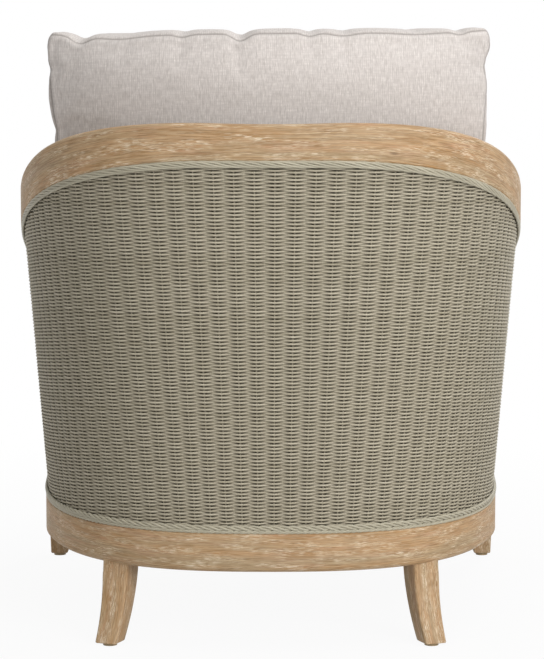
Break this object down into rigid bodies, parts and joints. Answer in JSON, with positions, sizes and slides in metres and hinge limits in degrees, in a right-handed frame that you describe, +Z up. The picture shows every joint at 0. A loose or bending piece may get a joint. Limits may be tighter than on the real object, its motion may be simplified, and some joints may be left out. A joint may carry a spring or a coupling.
{
  "type": "outdoor club chair",
  "caption": "Barrel-backed outdoor club chair with a woven resin body between bent timber rails, sabre rear legs, a webbed seat and loose seat and back cushions that lift off.",
  "frame": {"origin": "on the floor, under the middle of the chair's box", "axes": "+Z up, the sitter faces -Y, +X is the sitter's left"},
  "size_m": [0.8116, 0.8308, 0.8654],
  "materials": {
    "limed_timber": "limed, matt oil",
    "resin_wicker": "satin resin strand",
    "resin_braid": "satin resin strand",
    "seat_webbing": "woven polypropylene",
    "zinc_steel": "zinc plated",
    "dark_nylon": "moulded",
    "outdoor_linen": "plain slub weave"
  },
  "bodies": {
    "frame": {"top_rail_back": "limed_timber", "arm_rail_left": "limed_timber", "arm_rail_right": "limed_timber", "top_rail_dowel_left": "limed_timber", "top_rail_dowel_right": "limed_timber", "base_rail_back": "limed_timber", "base_rail_left": "limed_timber", "base_rail_right": "limed_timber", "base_rail_front": "limed_timber", "base_rail_dowel_left": "limed_timber", "base_rail_dowel_right": "limed_timber", "front_leg_left": "limed_timber", "front_leg_right": "limed_timber", "rear_leg_left": "limed_timber", "rear_leg_right": "limed_timber", "corner_block_left": "limed_timber", "corner_block_right": "limed_timber", "upright_back_left": "limed_timber", "upright_back_right": "limed_timber", "upright_corner_left": "limed_timber", "upright_corner_right": "limed_timber", "upright_side_left": "limed_timber", "upright_side_right": "limed_timber", "seat_ledger_back": "limed_timber", "seat_ledger_left": "limed_timber", "seat_ledger_right": "limed_timber", "seat_rail_front": "limed_timber", "outer_weave": "resin_wicker", "inner_weave": "resin_wicker", "front_weave": "resin_wicker", "outer_top_braid": "resin_braid", "outer_base_braid": "resin_braid", "inner_top_braid": "resin_braid", "front_base_braid": "resin_braid", "front_seat_braid": "resin_braid", "webbing_long_1": "seat_webbing", "webbing_long_2": "seat_webbing", "webbing_long_3": "seat_webbing", "webbing_long_4": "seat_webbing", "webbing_long_5": "seat_webbing", "webbing_cross_1": "seat_webbing", "webbing_cross_2": "seat_webbing", "webbing_cross_3": "seat_webbing", "webbing_cross_4": "seat_webbing", "webbing_cross_5": "seat_webbing", "rear_leg_bolt_left": "zinc_steel", "rear_leg_bolt_right": "zinc_steel", "glide_front_left": "dark_nylon", "glide_front_right": "dark_nylon", "glide_rear_left": "dark_nylon", "glide_rear_right": "dark_nylon"},
    "seat_cushion": {"seat_cushion": "outdoor_linen"},
    "back_cushion": {"back_cushion": "outdoor_linen"}
  },
  "joints": [
    {"name": "seat_cushion_lift", "type": "slide", "parent": "frame", "child": "seat_cushion", "axis": [0, 0, 1], "range_m": [0, 0.5]},
    {"name": "back_cushion_lift", "type": "slide", "parent": "seat_cushion", "child": "back_cushion", "axis": [0, 0, 1], "range_m": [0, 0.36]}
  ]
}
